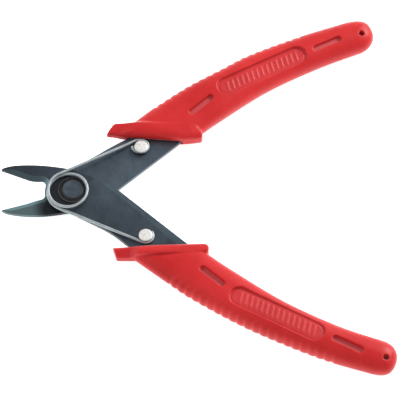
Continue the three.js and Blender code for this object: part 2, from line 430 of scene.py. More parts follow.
FRONT_PLAN = dict(
    outer=[(24.1, 16.4), (33.2, 19.75), (44.3, 23.6), (64.4, 28.1), (86, 30.65), (102, 30.8)],
    end=(109.1, 25.6),
    corner=0.78,
    inner=[(103, 19.9), (89, 19.3), (71, 16.3), (53, 10.95), (43.2, 7.4)],
    mouth=[(16.9, 14.8), (42.3, 5.15)],
    inboard=[(43.6, 5.6), (44.5, 6.6), (44.5, 7.6)],
    back=[(42.4, 9.0), (32.6, 13.0), (25.2, 15.6), (19.0, 17.65)],
    tip=[(18.4, 17.65), (16.4, 15.1)],
    wall=(0.7, 0.9, 1.0),
    crest=(1.9, 4.0, 2.9),
    grows=(1.5, 11),
    nose=(1.7, 3.0, 2.6),
    brim=dict(start=21.5, shown=0.6, hidden=1.75),
    ribs=dict(count=21, first=0.165, last=0.855),
    blend=0.45,
)


def guard_ring(plan):
    return np.array(plan["mouth"] + plan["inboard"] + plan["back"] + plan["tip"], float)


def mouth_distance(x, y, plan):
    """How far a place is behind the plane of the guard's mouth."""
    behind = np.full(np.shape(x), 1e9)
    for a, b in zip(plan["mouth"], plan["mouth"][1:]):
        along = (np.array(b) - a) / math.dist(a, b)
        behind = np.minimum(behind, (y - a[1]) * along[0] - (x - a[0]) * along[1])
    return behind


TANG_INNER = [(38.5, 6.8), (41, 7.9), (46, 11.2), (54, 15.1), (66, 19.2), (78, 22.1), (88, 23.4)]
TANG_OUTER = [(88, 27.6), (76, 26.7), (62, 24.5), (46, 20.6), (30, 15.7), (21.5, 13)]


def tang_ring(grow):
    """The tang's inner edge, end and outer edge, moved outwards by grow."""
    inner = catmull([(x, y - grow) for x, y in TANG_INNER], 6)
    outer = catmull([(x, y + grow) for x, y in TANG_OUTER], 6)
    a, b = inner[-1], outer[0]
    reach = a[0] + (b[1] - a[1]) * 0.6
    end = bezier(a, (reach, a[1]), (reach, b[1]), b, 10)
    return inner, end, outer


def cavity_ring(grow, seat, stamp):
    """The pocket for one blade's tang, in the grip's frame."""
    inner, end, outer = tang_ring(grow)
    low = stamp["arm"] - grow
    ring = joined(
        np.array([(10, -5.63 + low), (38.3, 6.71 + low)]),
        inner[1:],
        end,
        outer,
        np.array([(10, 9.7 + grow)]),
    )
    return ring + np.array(stamp["shift"]) - np.array(seat)


class GripField:
    """The grip's solid as a field, in the grip's own frame."""

    def __init__(self, half, seat, shape, stamp):
        pitch = PLAN_PITCH
        x0, y0, x1, y1 = PLAN_BOX
        nx, ny = int((x1 - x0) / pitch), int((y1 - y0) / pitch)
        x, y = np.meshgrid(
            x0 + pitch * np.arange(nx), y0 + pitch * np.arange(ny), indexing="ij"
        )

        def plan(values):
            return Plan(x0, y0, pitch, values)

        outer, tip, inner = handle_edges(shape)
        ring = joined(outer, tip, inner, np.array([(38.0, 7.4), (24.0, 12.6), (21.8, 14.4)]))
        edge = ring_distance(x, y, ring)
        to_outer, along = line_distance(x, y, outer)
        length = arc_length(outer)[-1]
        count, first, last = (shape["ribs"][k] for k in ("count", "first", "last"))
        phase = (along / length - first) / (last - first) * count
        notch = 1 - np.abs(np.sin(np.pi * phase)) ** 0.8
        strength = smooth(phase, -0.55, -0.05) * (1 - smooth(phase, count + 0.05, count + 0.55))
        fade = np.exp(-((to_outer / RIB_FADE) ** 2)) * (to_outer < np.abs(edge) + 0.05)
        self.edge = plan(edge + RIB_DEPTH * notch * strength * fade)
        self.guard = plan(ring_distance(x, y, guard_ring(shape)))
        self.half = half
        self.shape = shape
        self.cavity = plan(ring_distance(x, y, cavity_ring(FIT_GAP, seat, stamp)))
        self.panel = plan(capsule(x, y, PANEL["start"], PANEL["end"], PANEL["width"]))
        self.bars = plan(self.bar_relief(x, y))
        self.slots = [
            (plan(capsule(x, y, s["start"], s["end"], s["width"])), s["depth"])
            for s in (INNER_SLOT, OUTER_SLOT)
        ]

    def bar_relief(self, x, y):
        """Plain slanted bars on the panel's floor, 0 to 1."""
        a, b = np.array(PANEL["start"]), np.array(PANEL["end"])
        axis = (b - a) / np.linalg.norm(b - a)
        s = (x - a[0]) * axis[0] + (y - a[1]) * axis[1]
        w = (y - a[1]) * axis[0] - (x - a[0]) * axis[1]
        length = np.linalg.norm(b - a)
        wave = 0.5 + 0.5 * np.cos(2 * np.pi * (s - BAR_SLANT * w) / BAR_PITCH)
        band = (1 - smooth(np.abs(w), 1.5, 1.95)) * smooth(s, 2.6, 3.2)
        return smooth(wave, 0.45, 0.8) * band * (1 - smooth(s, length - 3.2, length - 2.6))

    def along_guard(self, x, values):
        """Eases one of the guard's measures from the tip to the middle to the inboard end."""
        start = self.shape["tip"][-1][0]
        tip, middle, inboard = values
        near, far = self.shape["grows"]
        value = tip + (middle - tip) * smooth(x, start + near, start + far)
        return value + (inboard - middle) * smooth(x, start + far, start + INBOARD_REACH)

    def crown(self, x):
        """Half the body's thickness."""
        rise = LOW_SHOULDER + (GRIP_HALF - LOW_SHOULDER) * smooth(x, 30, 58)
        return rise - END_DROP * smooth(x, 84, 110)

    def guard_field(self, x, y, z, behind):
        up = np.abs(z)
        wall, crest, nose = (self.along_guard(x, self.shape[k]) for k in ("wall", "crest", "nose"))
        g = np.clip(1 - behind / nose, 0, None)
        rise = np.clip((up - wall) / (crest - wall), 0, None)
        guard = smax(self.guard(x, y), (np.hypot(g, rise) - 1) * GUARD_SLOPE, 0.4)
        brim = self.shape["brim"]
        start = brim["start"]
        beyond = BRIM_RUN * smooth(x, start, start + BRIM_RUN)
        shown = self.half * z - brim["shown"] - 0.55 * np.clip(3.8 - behind, 0, None)
        guard = smax(guard, 0.8 * shown - beyond, 0.5)
        start += BRIM_LAG
        beyond = BRIM_RUN * smooth(x, start, start + BRIM_RUN)
        return smax(guard, 0.8 * (-self.half * z - brim["hidden"]) - beyond, 0.4)

    def __call__(self, p):
        x, y, z = p[..., 0], p[..., 1], p[..., 2]
        up = np.abs(z)
        half = self.crown(x)
        a = np.clip(1 + self.edge(x, y) / CROWN_REACH, 0, None)
        round_section = (a**CROWN_POWER + (up / half) ** CROWN_POWER) ** (1 / CROWN_POWER)
        behind = mouth_distance(x, y, self.shape)
        body = smax((round_section - 1) * CROWN_SLOPE, MOUTH_INSET - behind, 0.5)
        solid = smin(body, self.guard_field(x, y, z, behind), self.shape["blend"])
        panel = self.panel(x, y)
        raised = PANEL_RISE * smooth(-panel, 0.5, 0.95) + BAR_RISE * self.bars(x, y)
        draft = RECESS_DRAFT * np.clip(half - up, 0, 1.5)
        for recess, depth, relief in [
            (panel, PANEL["depth"], raised),
            *[(slot(x, y), depth, 0.0) for slot, depth in self.slots],
        ]:
            cut = smax(recess + draft, half - depth + relief - up, 0.1)
            solid = smax(solid, -cut, 0.16)
        hole = np.hypot(x - HANG_HOLE["x"], y - HANG_HOLE["y"]) - HANG_HOLE["radius"]
        solid = smax(solid, -hole, 0.2)
        middle = -(OUTER_FACE + LAP_FACE) / 2
        tunnel = np.maximum(self.cavity(x, y), np.abs(z - middle) - PLATE / 2 - FIT_GAP)
        return np.maximum(solid, -tunnel)


def grip(name, half, seat, shape, stamp):
    value = GripField(half, seat, shape, stamp)
    pitch = GRIP_PITCH
    start = np.array([*GRIP_CORNER, -GRIP_HALF - 1.5 * pitch])
    size = np.array([*GRIP_SPAN, 2 * GRIP_HALF + 3 * pitch])
    counts = np.ceil(size / pitch).astype(int) + 1
    axes = [start[k] + pitch * np.arange(counts[k]) for k in range(3)]
    x, y, z = np.meshgrid(*axes, indexing="ij")
    verts, quads = surface_nets(value(np.stack([x, y, z], axis=-1)), start, pitch)
    verts = settle(verts, value, pitch)
    up = np.abs(verts[:, 2])
    deep = value.crown(verts[:, 0]) - up
    panel = value.panel(verts[:, 0], verts[:, 1])
    slots = np.minimum(*[s(verts[:, 0], verts[:, 1]) for s, _ in value.slots])
    # The floors of the panel and the slots look paler in the photo.
    floor = 0.22 * np.clip(-panel / 0.4, 0, 1) * smooth(deep, 0.3, 0.5)
    floor += 0.85 * np.clip(-slots / 0.4, 0, 1) * smooth(deep, 0.6, 0.9)
    verts = verts + np.array([seat[0], seat[1], 0])
    obj = make(name, verts, quads, half)
    mark(obj, "floor", floor)
    return obj


# ---------------------------------------------------------------- stampings
# reach and tip: where the jaw's point is. shoulder, arm, throat, swell and hump: how far those parts of
# the outline are moved. back: the back of the jaw. shift: where the whole outline sits.
REAR_STAMP = dict(
    reach=22.7, tip=0.45, shift=(0.0, 0.45),
    shoulder=0.45, arm=0.5, throat=0.6, swell=-0.3, hump=0.4,
    back=[(-20.3, -1.65), (-15.5, -4.25), (-10, -5.75), (-4.5, -6.35)],
)
FRONT_STAMP = dict(
    reach=23.5, tip=0.2, shift=(-0.1, -0.33),
    shoulder=-0.3, arm=0.0, throat=0.2, swell=0.3, hump=-0.2,
    back=[(-20.3, -2.3), (-15.5, -4.45), (-10, -5.75), (-4.5, -6.4)],
)


BOSS_RADIUS = 7.9
BOSS_BULGE = 0.7           # added to the radius towards the throat
BOSS_ARC = np.radians((80, 169))
BULGE_ARC = np.radians((122, 150))


def blade_runs(stamp):
    """The stamping's outline as named runs of points, in order."""
    angles = np.linspace(*BOSS_ARC, 50)
    radius = BOSS_RADIUS + BOSS_BULGE * smooth(angles, *BULGE_ARC)
    boss = radius[:, None] * np.stack([np.cos(angles), np.sin(angles)], axis=1)
    inner, end, outer = tang_ring(0)
    reach, tip, out, arm, rise = (stamp[k] for k in ("reach", "tip", "shoulder", "arm", "throat"))
    belly = 0.5 + stamp["swell"]
    point = (-reach, tip)
    back = stamp["back"]
    heel_end = (3.5, -6.1 + 0.5 * arm)
    arm_start = (13.5, -4.1 + arm)
    arm_end = (38.5, 6.8 + arm)
    hump = (16.5, 11.1 + out + stamp["hump"])
    shoulder_end = (12, 10.1 + out)
    throat_end = (-10.2, -0.3 + rise)
    edge_start = (-14.2, belly)
    return [
        ("nose", bezier(point, (0.25 - reach, tip - 0.65), (1.3 - reach, tip - 1.5), back[0], 14)),
        ("back", bezier(*back, 40)),
        ("heel", quadratic(back[-1], (-1.5, -7.1), heel_end, 24)),
        ("heel", quadratic(heel_end, (9.5, -5.4 + arm), arm_start, 24)),
        ("arm", straight(arm_start, arm_end, 60)),
        ("tang", inner[1:]),
        ("tang", end),
        ("tang", outer),
        ("shoulder", quadratic(TANG_OUTER[-1], hump, shoulder_end, 20)),
        ("shoulder", straight(shoulder_end, boss[0], 24)),
        ("boss", boss),
        ("throat", quadratic(boss[-1], (-8.75, -0.4 + rise), throat_end, 16)),
        ("edge", quadratic(throat_end, (-12.4, belly - 0.1 + 0.4 * rise), edge_start, 18)),
        ("edge", straight(edge_start, point, 44)),
    ]


EASE = 0.1                 # broken edge of a stamping
BEVEL_WIDTH = 1.45         # ground bevel on the outer face of the jaw
BEVEL_DEPTH = 0.7
LAND_WIDTH = 1.2           # narrower one on its lap face
LAND_DEPTH = 0.2
STRIP_WIDTH = 1.2          # worn strip along the arm, which widens towards the grip
STRIP_SPREAD = 0.04
STRIP_DEPTH = 0.2
EDGE_BLUR = 6              # rounds of smoothing along the outline, in points
SHINE_BEVEL = 0.3          # how bare a ground bevel looks, and how strong the worn strip's painted highlight and the cut side's painted reflection of the floor are, 0 to 1
STRIP_PAINTED_HIGHLIGHT = 0.1
SIDE_PAINTED_REFLECTION = 0.12
RIVET_HOLE = 2.6           # radii
PIN_HOLE = 1.35


def edge_insets(points, labels):
    """How far each outline point's edge is cut back, and how bare it looks.

    Outer face width and depth, lap face width and depth, ground edge 0 to 1, worn arm edge 0 to 1.
    """
    x, y = points[:, 0], points[:, 1]
    cutting = np.isin(labels, ["edge", "throat"])
    past = np.degrees(np.arctan2(y, x))
    boss = np.isin(labels, ["boss"])
    ground = np.where(cutting, 1.0, np.where(boss, smooth(past, 135, 168), 0.0))
    bare = ground
    ground = ground * smooth(x - x.min(), -0.3, 3.4)
    outer_w = EASE + (BEVEL_WIDTH - EASE) * ground
    outer_d = EASE + (BEVEL_DEPTH - EASE) * ground
    lap_w = EASE + (LAND_WIDTH - EASE) * ground
    lap_d = EASE + (LAND_DEPTH - EASE) * ground
    on_arm = np.isin(labels, ["arm"]) | (np.isin(labels, ["heel"]) & (x > 3.5))
    worn = np.where(on_arm, smooth(x, 4.0, 12.0), 0.0)
    worn = np.where(np.isin(labels, ["tang"]) & (y < 14) & (x < 50), 1 - smooth(x, 39, 46), worn)
    strip = STRIP_WIDTH + STRIP_SPREAD * np.clip(x - 10, 0, 30)
    outer_w = np.where(worn > 0, EASE + worn * strip, outer_w)
    outer_d = np.where(worn > 0, EASE + worn * (STRIP_DEPTH - EASE), outer_d)
    return outer_w, outer_d, lap_w, lap_d, bare, worn


def labelled(runs):
    """The runs as one closed ring of points, with each point's label."""
    points, labels = [], []
    for label, run in runs:
        for point in run[:-1]:
            points.append(point)
            labels.append(label)
    return np.array(points), np.array(labels)


def blurred(values, rounds):
    for _ in range(rounds):
        values = 0.25 * np.roll(values, 1) + 0.5 * values + 0.25 * np.roll(values, -1)
    return values


def blade(name, half, pin, stamp):
    """A stamping: four rings of points from face to face, two caps, and holes for rivet and pin."""
    points, labels = labelled(blade_runs(stamp))
    n = len(points)
    tangent = np.roll(points, -1, axis=0) - np.roll(points, 1, axis=0)
    tangent /= np.linalg.norm(tangent, axis=1, keepdims=True)
    inward = np.stack([-tangent[:, 1], tangent[:, 0]], axis=1)
    outer_w, outer_d, lap_w, lap_d, ground, worn = (
        blurred(v, EDGE_BLUR) for v in edge_insets(points, labels)
    )
    points = points + np.array(stamp["shift"])
    bm = bmesh.new()
    bare = bm.faces.layers.float.new("bare")

    def ring(offsets, heights):
        places = points + inward * np.asarray(offsets)[:, None]
        return [bm.verts.new((p[0], p[1], h)) for p, h in zip(places, heights)]

    none = np.zeros(n)
    rings = [
        ring(outer_w, none - OUTER_FACE),
        ring(none, outer_d - OUTER_FACE),
        ring(none, -LAP_FACE - lap_d),
        ring(lap_w, none - LAP_FACE),
    ]
    # The ground bevels look bare; the worn strip's lift is a painted highlight and the cut sides' lift
    # is a painted reflection of the floor.
    bare_and_painted_light = [SHINE_BEVEL * ground + STRIP_PAINTED_HIGHLIGHT * worn, none + SIDE_PAINTED_REFLECTION, ground]
    for lower, upper, bright in zip(rings, rings[1:], bare_and_painted_light):
        for i in range(n):
            j = (i + 1) % n
            bm.faces.new((lower[i], lower[j], upper[j], upper[i]))[bare] = bright[i]
    holes = []
    for centre, radius, sides in [((0, 0), RIVET_HOLE, 48), ((pin["x"], pin["y"]), PIN_HOLE, 32)]:
        low, high = (
            [bm.verts.new((x, y, height)) for x, y in circle(centre, radius, sides)]
            for height in (-OUTER_FACE, -LAP_FACE)
        )
        for k in range(sides):
            m = (k + 1) % sides
            bm.faces.new((low[m], low[k], high[k], high[m]))
        holes.append((low, high))
    for level, outline in ((0, rings[0]), (1, rings[-1])):
        edges = []
        for loop in (outline, *(hole[level] for hole in holes)):
            edges += [bm.edges.get((a, b)) for a, b in zip(loop, loop[1:] + loop[:1])]
        bmesh.ops.triangle_fill(bm, use_beauty=True, use_dissolve=False, edges=edges)
    bmesh.ops.recalc_face_normals(bm, faces=bm.faces)
    mesh = bpy.data.meshes.new(name)
    bm.to_mesh(mesh)
    bm.free()
    return place(name, mesh, half, 24)


# ---------------------------------------------------------------- rivet, pins, spring
WIRE_STEP = 0.32           # along the wire
CUT_END = 0.06             # how far a cut end stands past the last ring, and its share of the width
CUT_SCALE = 0.78


def rivet(name):
    """A raised middle, a slope and a thin rim on the head; a plain flat head behind."""
    seat = OUTER_FACE + HEAD_GAP
    shank = RIVET_HOLE - 0.1
    head = [
        (4.6, seat), (4.6, 1.76), (4.48, 1.86), (4.34, 1.84),
        (3.3, 2.12), (3.12, 2.2), (2.86, 2.2), (2.2, 2.14), (0, 2.13),
    ]
    tail = [(0, -2.18), (3.6, -2.18), (4.0, -seat - 0.25), (4.0, -seat)]
    profile = [*tail, (shank, -seat), (shank, seat), *head]
    verts, faces = lathe(rounded(profile, 0.09), 96)
    return make(name, verts, faces, 0, 50)


def pin_place(pin, side):
    """Where a pin stands with the halves open, from the pivot."""
    a = side * HALF_OPENING
    x, y = pin["x"], side * pin["y"]
    return np.array([x * math.cos(a) - y * math.sin(a), x * math.sin(a) + y * math.cos(a)])


def pin_piece(name, pin, side):
    foot = pin["base"] - PLATE + HEAD_GAP
    seat = pin["base"] + HEAD_GAP
    under = pin["wire"] + WIRE / 2 + HEAD_GAP
    top = under + 0.6
    profile = [
        (0, foot), (PIN_SHANK, foot), (PIN_SHANK, seat),
        (PIN_NECK, seat), (PIN_NECK, under), (PIN_HEAD - 0.1, under), (PIN_HEAD, under + 0.14),
        (PIN_HEAD, top - 0.2), (PIN_HEAD - 0.22, top - 0.02), (0, top),
    ]
    verts, faces = lathe(rounded(profile, 0.08), 64)
    px, py = pin_place(pin, side)
    verts = [(x + px, y + py, z) for x, y, z in verts]
    return make(name, verts, faces, 0, 50)


def sweep(centre, start, end, step, radius, height):
    """Points round a centre between two angles in degrees; radius and height follow the angle."""
    count = round((end - start) / step)
    rows = []
    for i in range(count + 1):
        angle = start + (end - start) * i / count
        turn = math.radians(angle)
        x = centre[0] + radius(angle) * math.cos(turn)
        y = centre[1] + radius(angle) * math.sin(turn)
        rows.append((x, y, height(angle)))
    return np.array(rows)


def spring_path():
    """The wire's middle from the rear pin's hook, round the coil and down, to the front pin's hook."""
    upper, lower = REAR_HOOK["leave"], FRONT_HOOK["leave"] + 360

    def radius(angle):
        return (
            COIL_RADIUS
            + (LEG_REACH - COIL_RADIUS) * (1 - smooth(angle, upper, 185))
            + (LOW_REACH - COIL_RADIUS) * smooth(angle, 480, 620)
        )

    def height(angle):
        return TURN_TOP - (TURN_TOP - TURN_LOW) * smooth(angle, 390, 480)

    def rear_radius(angle):
        return REAR_HOOK["radius"] + REAR_HOOK["flare"] * smooth(-angle, 90, 178)

    def front_radius(angle):
        return FRONT_HOOK["radius"]

    def rear_height(angle):
        return REAR_PIN["wire"]

    def front_height(angle):
        return FRONT_PIN["wire"]

    rear = pin_place(REAR_PIN, 1)
    front = pin_place(FRONT_PIN, -1) + FRONT_HOOK["hang"]
    rear_hook = sweep(rear + REAR_HOOK["hang"], -178, REAR_HOOK["last"], 12, rear_radius, rear_height)
    elbow = (*(rear + REAR_HOOK["elbow"]), REAR_PIN["wire"])
    coil = sweep(COIL_CENTRE, upper, lower, 6, radius, height)
    front_hook = sweep(front, lower - 360, FRONT_HOOK["last"], 10, front_radius, front_height)
    rear_leg = straight(elbow, coil[0], 8)[:-1]
    front_leg = straight(coil[-1], front_hook[0], 8)[1:-1]
    return centripetal(np.vstack([rear_hook, rear_leg, coil, front_leg, front_hook]), WIRE_STEP)


def centripetal(points, spacing):
    """A centripetal Catmull-Rom curve through the points, at an even spacing."""
    first, last = 2 * points[0] - points[1], 2 * points[-1] - points[-2]
    p = np.vstack([first, points, last])
    rows = []
    for a, b, c, d in zip(p, p[1:], p[2:], p[3:]):
        t0 = 0.0
        t1 = t0 + np.linalg.norm(b - a) ** 0.5
        t2 = t1 + np.linalg.norm(c - b) ** 0.5
        t3 = t2 + np.linalg.norm(d - c) ** 0.5
        steps = max(2, int(np.linalg.norm(c - b) / 0.05))
        t = np.linspace(t1, t2, steps, endpoint=False)[:, None]
        a1 = (t1 - t) / (t1 - t0) * a + (t - t0) / (t1 - t0) * b
        a2 = (t2 - t) / (t2 - t1) * b + (t - t1) / (t2 - t1) * c
        a3 = (t3 - t) / (t3 - t2) * c + (t - t2) / (t3 - t2) * d
        b1 = (t2 - t) / (t2 - t0) * a1 + (t - t0) / (t2 - t0) * a2
        b2 = (t3 - t) / (t3 - t1) * a2 + (t - t1) / (t3 - t1) * a3
        rows.append((t2 - t) / (t2 - t1) * b1 + (t - t1) / (t2 - t1) * b2)
    dense = np.vstack([*rows, points[-1:]])
    s = arc_length(dense)
    at = np.linspace(0, s[-1], int(s[-1] / spacing) + 1)
    return np.stack([np.interp(at, s, dense[:, k]) for k in range(3)], axis=1)


def tube(name, path, radius, sides=16):
    """A round wire along a path, with slightly rounded cut ends."""
    tangent = np.gradient(path, axis=0)
    tangent /= np.linalg.norm(tangent, axis=1, keepdims=True)
    up = np.array([0.0, 0.0, 1.0])
    normal = np.cross(up, tangent)
    normal /= np.linalg.norm(normal, axis=1, keepdims=True)
    binormal = np.cross(tangent, normal)
    verts, faces = [], []
    n = len(path)
    stations = [
        (0, -CUT_END, CUT_SCALE),
        *((i, 0.0, 1.0) for i in range(n)),
        (n - 1, CUT_END, CUT_SCALE),
    ]
    for i, shift, scale in stations:
        centre = path[i] + tangent[i] * shift
        for k in range(sides):
            a = 2 * math.pi * k / sides
            verts.append(
                centre
                + radius * scale * (math.cos(a) * normal[i] + math.sin(a) * binormal[i])
            )
    rows = len(stations)
    for i in range(rows - 1):
        for k in range(sides):
            m = (k + 1) % sides
            faces.append(
                (i * sides + k, i * sides + m, (i + 1) * sides + m, (i + 1) * sides + k)
            )
    faces.append(tuple(reversed(range(sides))))
    faces.append(tuple(range((rows - 1) * sides, rows * sides)))
    return make(name, verts, faces, 0, 60)


# ---------------------------------------------------------------- materials
MIX_FACTOR, MIX_A, MIX_B = 0, 6, 7   # a colour Mix node's inputs
MIXED = 2                            # and its output


class Nodes:
    """Shorthand for a material's node tree, with textures in the row frame."""

    def __init__(self, name):
        self.material = bpy.data.materials.new(name)
        self.material.use_nodes = True
        self.tree = self.material.node_tree
        self.tree.nodes.clear()
        self.out = self.add("ShaderNodeOutputMaterial")
        self.shader = self.add("ShaderNodeBsdfPrincipled")
        self.link(self.shader, "BSDF", self.out, "Surface")
        self.where = self.add("ShaderNodeTexCoord")

    def add(self, kind, **values):
        node = self.tree.nodes.new(kind)
        for key, value in values.items():
            if hasattr(node, key):
                setattr(node, key, value)
            else:
                node.inputs[key].default_value = value
        return node

    def link(self, a, out, b, into):
        self.tree.links.new(a.outputs[out], b.inputs[into])

    def noise(self, scale, detail=4.0, roughness=0.6, stretch=(1, 1, 1), turn=0.0):
        mapping = self.add("ShaderNodeMapping")
        mapping.inputs["Scale"].default_value = stretch
        mapping.inputs["Rotation"].default_value = (0, 0, turn)
        self.link(self.where, "Object", mapping, "Vector")
        noise = self.add("ShaderNodeTexNoise")
        noise.inputs["Scale"].default_value = scale
        noise.inputs["Detail"].default_value = detail
        noise.inputs["Roughness"].default_value = roughness
        self.link(mapping, "Vector", noise, "Vector")
        return noise

    def ramp(self, source, out, stops):
        ramp = self.add("ShaderNodeValToRGB")
        elements = ramp.color_ramp.elements
        while len(elements) < len(stops):
            elements.new(0.5)
        for element, (position, colour) in zip(elements, stops):
            element.position = position
            element.color = (*colour, 1)
        self.link(source, out, ramp, "Fac")
        return ramp

    def span(self, source, out, low_in, high_in, low_out, high_out):
        node = self.add("ShaderNodeMapRange")
        for key, value in (
            ("From Min", low_in), ("From Max", high_in), ("To Min", low_out), ("To Max", high_out),
        ):
            node.inputs[key].default_value = value
        self.link(source, out, node, "Value")
        return node

    def mix(self, factor, factor_out, a, a_out, b, b_out, kind="MIX"):
        node = self.add("ShaderNodeMix", data_type="RGBA", blend_type=kind)
        if isinstance(factor, float):
            node.inputs[MIX_FACTOR].default_value = factor
        else:
            self.link(factor, factor_out, node, MIX_FACTOR)
        for value, out, socket in ((a, a_out, MIX_A), (b, b_out, MIX_B)):
            if isinstance(value, tuple):
                node.inputs[socket].default_value = (*value, 1)
            else:
                self.link(value, out, node, socket)
        return node

    def bump(self, source, out, strength, distance, after=None):
        node = self.add("ShaderNodeBump")
        node.inputs["Strength"].default_value = strength
        node.inputs["Distance"].default_value = distance
        self.link(source, out, node, "Height")
        if after:
            self.link(after, "Normal", node, "Normal")
        return node

    def distance_from(self, x, y):
        """How far each place is from an upright line at x, y mm from the pivot."""
        flat = self.add("ShaderNodeVectorMath", operation="MULTIPLY")
        flat.inputs[1].default_value = (1, 1, 0)
        self.link(self.where, "Object", flat, 0)
        node = self.add("ShaderNodeVectorMath", operation="DISTANCE")
        node.inputs[1].default_value = (PIVOT.x + x * MM, PIVOT.y + y * MM, 0)
        self.link(flat, "Vector", node, 0)
        return node

    def finish(self, colour, out, rough, bump, **settings):
        """Joins the shader up and returns the material; settings are the shader's plain inputs."""
        self.link(colour, out, self.shader, "Base Color")
        self.link(rough, "Result", self.shader, "Roughness")
        self.link(bump, "Normal", self.shader, "Normal")
        for key, value in settings.items():
            self.shader.inputs[key.replace("_", " ")].default_value = value
        return self.material


def red_plastic():
    n = Nodes("red_plastic")
    cloud = n.noise(70, 3, 0.55)
    base = n.ramp(cloud, "Fac", [(0.3, (0.52, 0.013, 0.014)), (0.7, (0.64, 0.022, 0.024))])
    speck = n.noise(2600, 2, 0.7)
    worn = n.ramp(speck, "Fac", [(0.38, (0, 0, 0)), (0.66, (1, 1, 1))])
    floor = n.add("ShaderNodeAttribute", attribute_name="floor")
    dusty = n.mix(floor, "Fac", base, "Color", (0.56, 0.085, 0.092), "")
    fine = n.mix(0.1, "", dusty, MIXED, worn, "Color", "SOFT_LIGHT")
    rough = n.span(cloud, "Fac", 0.3, 0.7, 0.36, 0.46)
    grain = n.noise(3200, 3, 0.6)
    flow = n.noise(240, 2, 0.5)
    waves = n.bump(flow, "Fac", 0.12, 0.4 * MM)
    bump = n.bump(grain, "Fac", 0.16, 0.06 * MM, waves)
    sheen = dict(Sheen_Weight=0.6, Sheen_Roughness=0.3)
    return n.finish(fine, MIXED, rough, bump, IOR=1.46, Specular_IOR_Level=0.3, **sheen)


def blacked_steel(name, dark, light, teal, turn, jaw, jaw_strength, root_darkening):
    """Blacked sheet steel, lightened where the mesh's "bare" says so: bare ground bevels, a painted
    reflection on the cut sides and a painted highlight on the worn strip.

    jaw is the colour towards the tips; root_darkening is the strength of the darker patch at the jaw's
    root.
    """
    n = Nodes(name)
    cloud = n.noise(95, 5, 0.62)
    base = n.ramp(cloud, "Fac", [(0.25, dark), (0.55, light), (0.8, teal)])
    lines = n.noise(1300, 3, 0.6, (1, 0.25, 1), turn)
    streak = n.ramp(lines, "Fac", [(0.3, (0.4, 0.4, 0.4)), (0.7, (0.6, 0.6, 0.6))])
    mixed = n.mix(0.35, "", base, "Color", streak, "Color", "OVERLAY")
    # Lighter where "bare" says so: bare ground bevels, plus a painted reflection on the cut sides and a
    # painted highlight on the worn strip.
    bare = n.add("ShaderNodeAttribute", attribute_name="bare")
    ground = n.mix(bare, "Fac", mixed, MIXED, (0.20, 0.34, 0.36), "")
    # Painted shade inside the coil, then the jaw's own colour, then a darker patch at its root.
    coil = n.distance_from(*COIL_CENTRE)
    coil_shade = n.span(coil, "Value", 5.3 * MM, 6.4 * MM, 0.78, 0)
    coil_shaded = n.mix(coil_shade, "Result", ground, MIXED, (0.018, 0.018, 0.021), "")
    split = n.add("ShaderNodeSeparateXYZ")
    n.link(n.where, "Object", split, "Vector")
    jaws = n.span(split, "X", PIVOT.x - 13 * MM, PIVOT.x - 7 * MM, jaw_strength, 0)
    tips = n.mix(bare, "Fac", jaw, "", ground, MIXED)
    jawed = n.mix(jaws, "Result", coil_shaded, MIXED, tips, MIXED)
    root = n.distance_from(-6, -6)
    patch = n.span(root, "Value", 2.8 * MM, 6.2 * MM, root_darkening, 0)
    root_darkened = n.mix(patch, "Result", jawed, MIXED, (0.016, 0.017, 0.019), "")
    rough = n.span(cloud, "Fac", 0.25, 0.75, 0.34, 0.5)
    pits = n.noise(1900, 3, 0.65)
    drawn = n.bump(lines, "Fac", 0.06, 0.04 * MM)
    bump = n.bump(pits, "Fac", 0.12, 0.04 * MM, drawn)
    return n.finish(root_darkened, MIXED, rough, bump, Metallic=0.85)


def rivet_steel():
    n = Nodes("rivet_steel")
    cloud = n.noise(600, 4, 0.6)
    top = n.ramp(cloud, "Fac", [(0.3, (0.056, 0.074, 0.094)), (0.7, (0.086, 0.108, 0.132))])
    # The slope round the raised middle is painted darker as painted shade, and the rim gets a thin
    # painted highlight.
    slope = n.ramp(cloud, "Fac", [(0.3, (0.018, 0.0175, 0.019)), (0.7, (0.036, 0.033, 0.035))])
    middle = n.distance_from(0, 0)
    edge = n.span(middle, "Value", 3.0 * MM, 3.35 * MM, 0, 1)
    rim = n.span(middle, "Value", 4.25 * MM, 4.45 * MM, 0, 0.8)
    slope_shaded = n.mix(edge, "Result", top, "Color", slope, "Color")
    rim_highlighted = n.mix(rim, "Result", slope_shaded, MIXED, (0.12, 0.11, 0.115), "")
    rough = n.span(cloud, "Fac", 0.3, 0.7, 0.4, 0.55)
    bump = n.bump(cloud, "Fac", 0.12, 0.04 * MM)
    return n.finish(rim_highlighted, MIXED, rough, bump, Metallic=0.8)


def wire_steel():
    n = Nodes("wire_steel")
    cloud = n.noise(420, 3, 0.6)
    base = n.ramp(cloud, "Fac", [(0.3, (0.33, 0.375, 0.39)), (0.7, (0.44, 0.485, 0.505))])
    rough = n.span(cloud, "Fac", 0.3, 0.7, 0.46, 0.56)
    scratch = n.noise(2200, 2, 0.6)
    bump = n.bump(scratch, "Fac", 0.1, 0.04 * MM)
    return n.finish(base, "Color", rough, bump, Metallic=0.6)


def pin_steel():
    n = Nodes("pin_steel")
    grain = n.noise(1500, 4, 0.7)
    stops = [(0.3, (0.50, 0.49, 0.46)), (0.5, (0.80, 0.79, 0.76)), (0.7, (0.9, 0.9, 0.88))]
    base = n.ramp(grain, "Fac", stops)
    rough = n.span(grain, "Fac", 0.3, 0.7, 0.6, 0.42)
    bump = n.bump(grain, "Fac", 0.5, 0.08 * MM)
    return n.finish(base, "Color", rough, bump, Metallic=0.55)


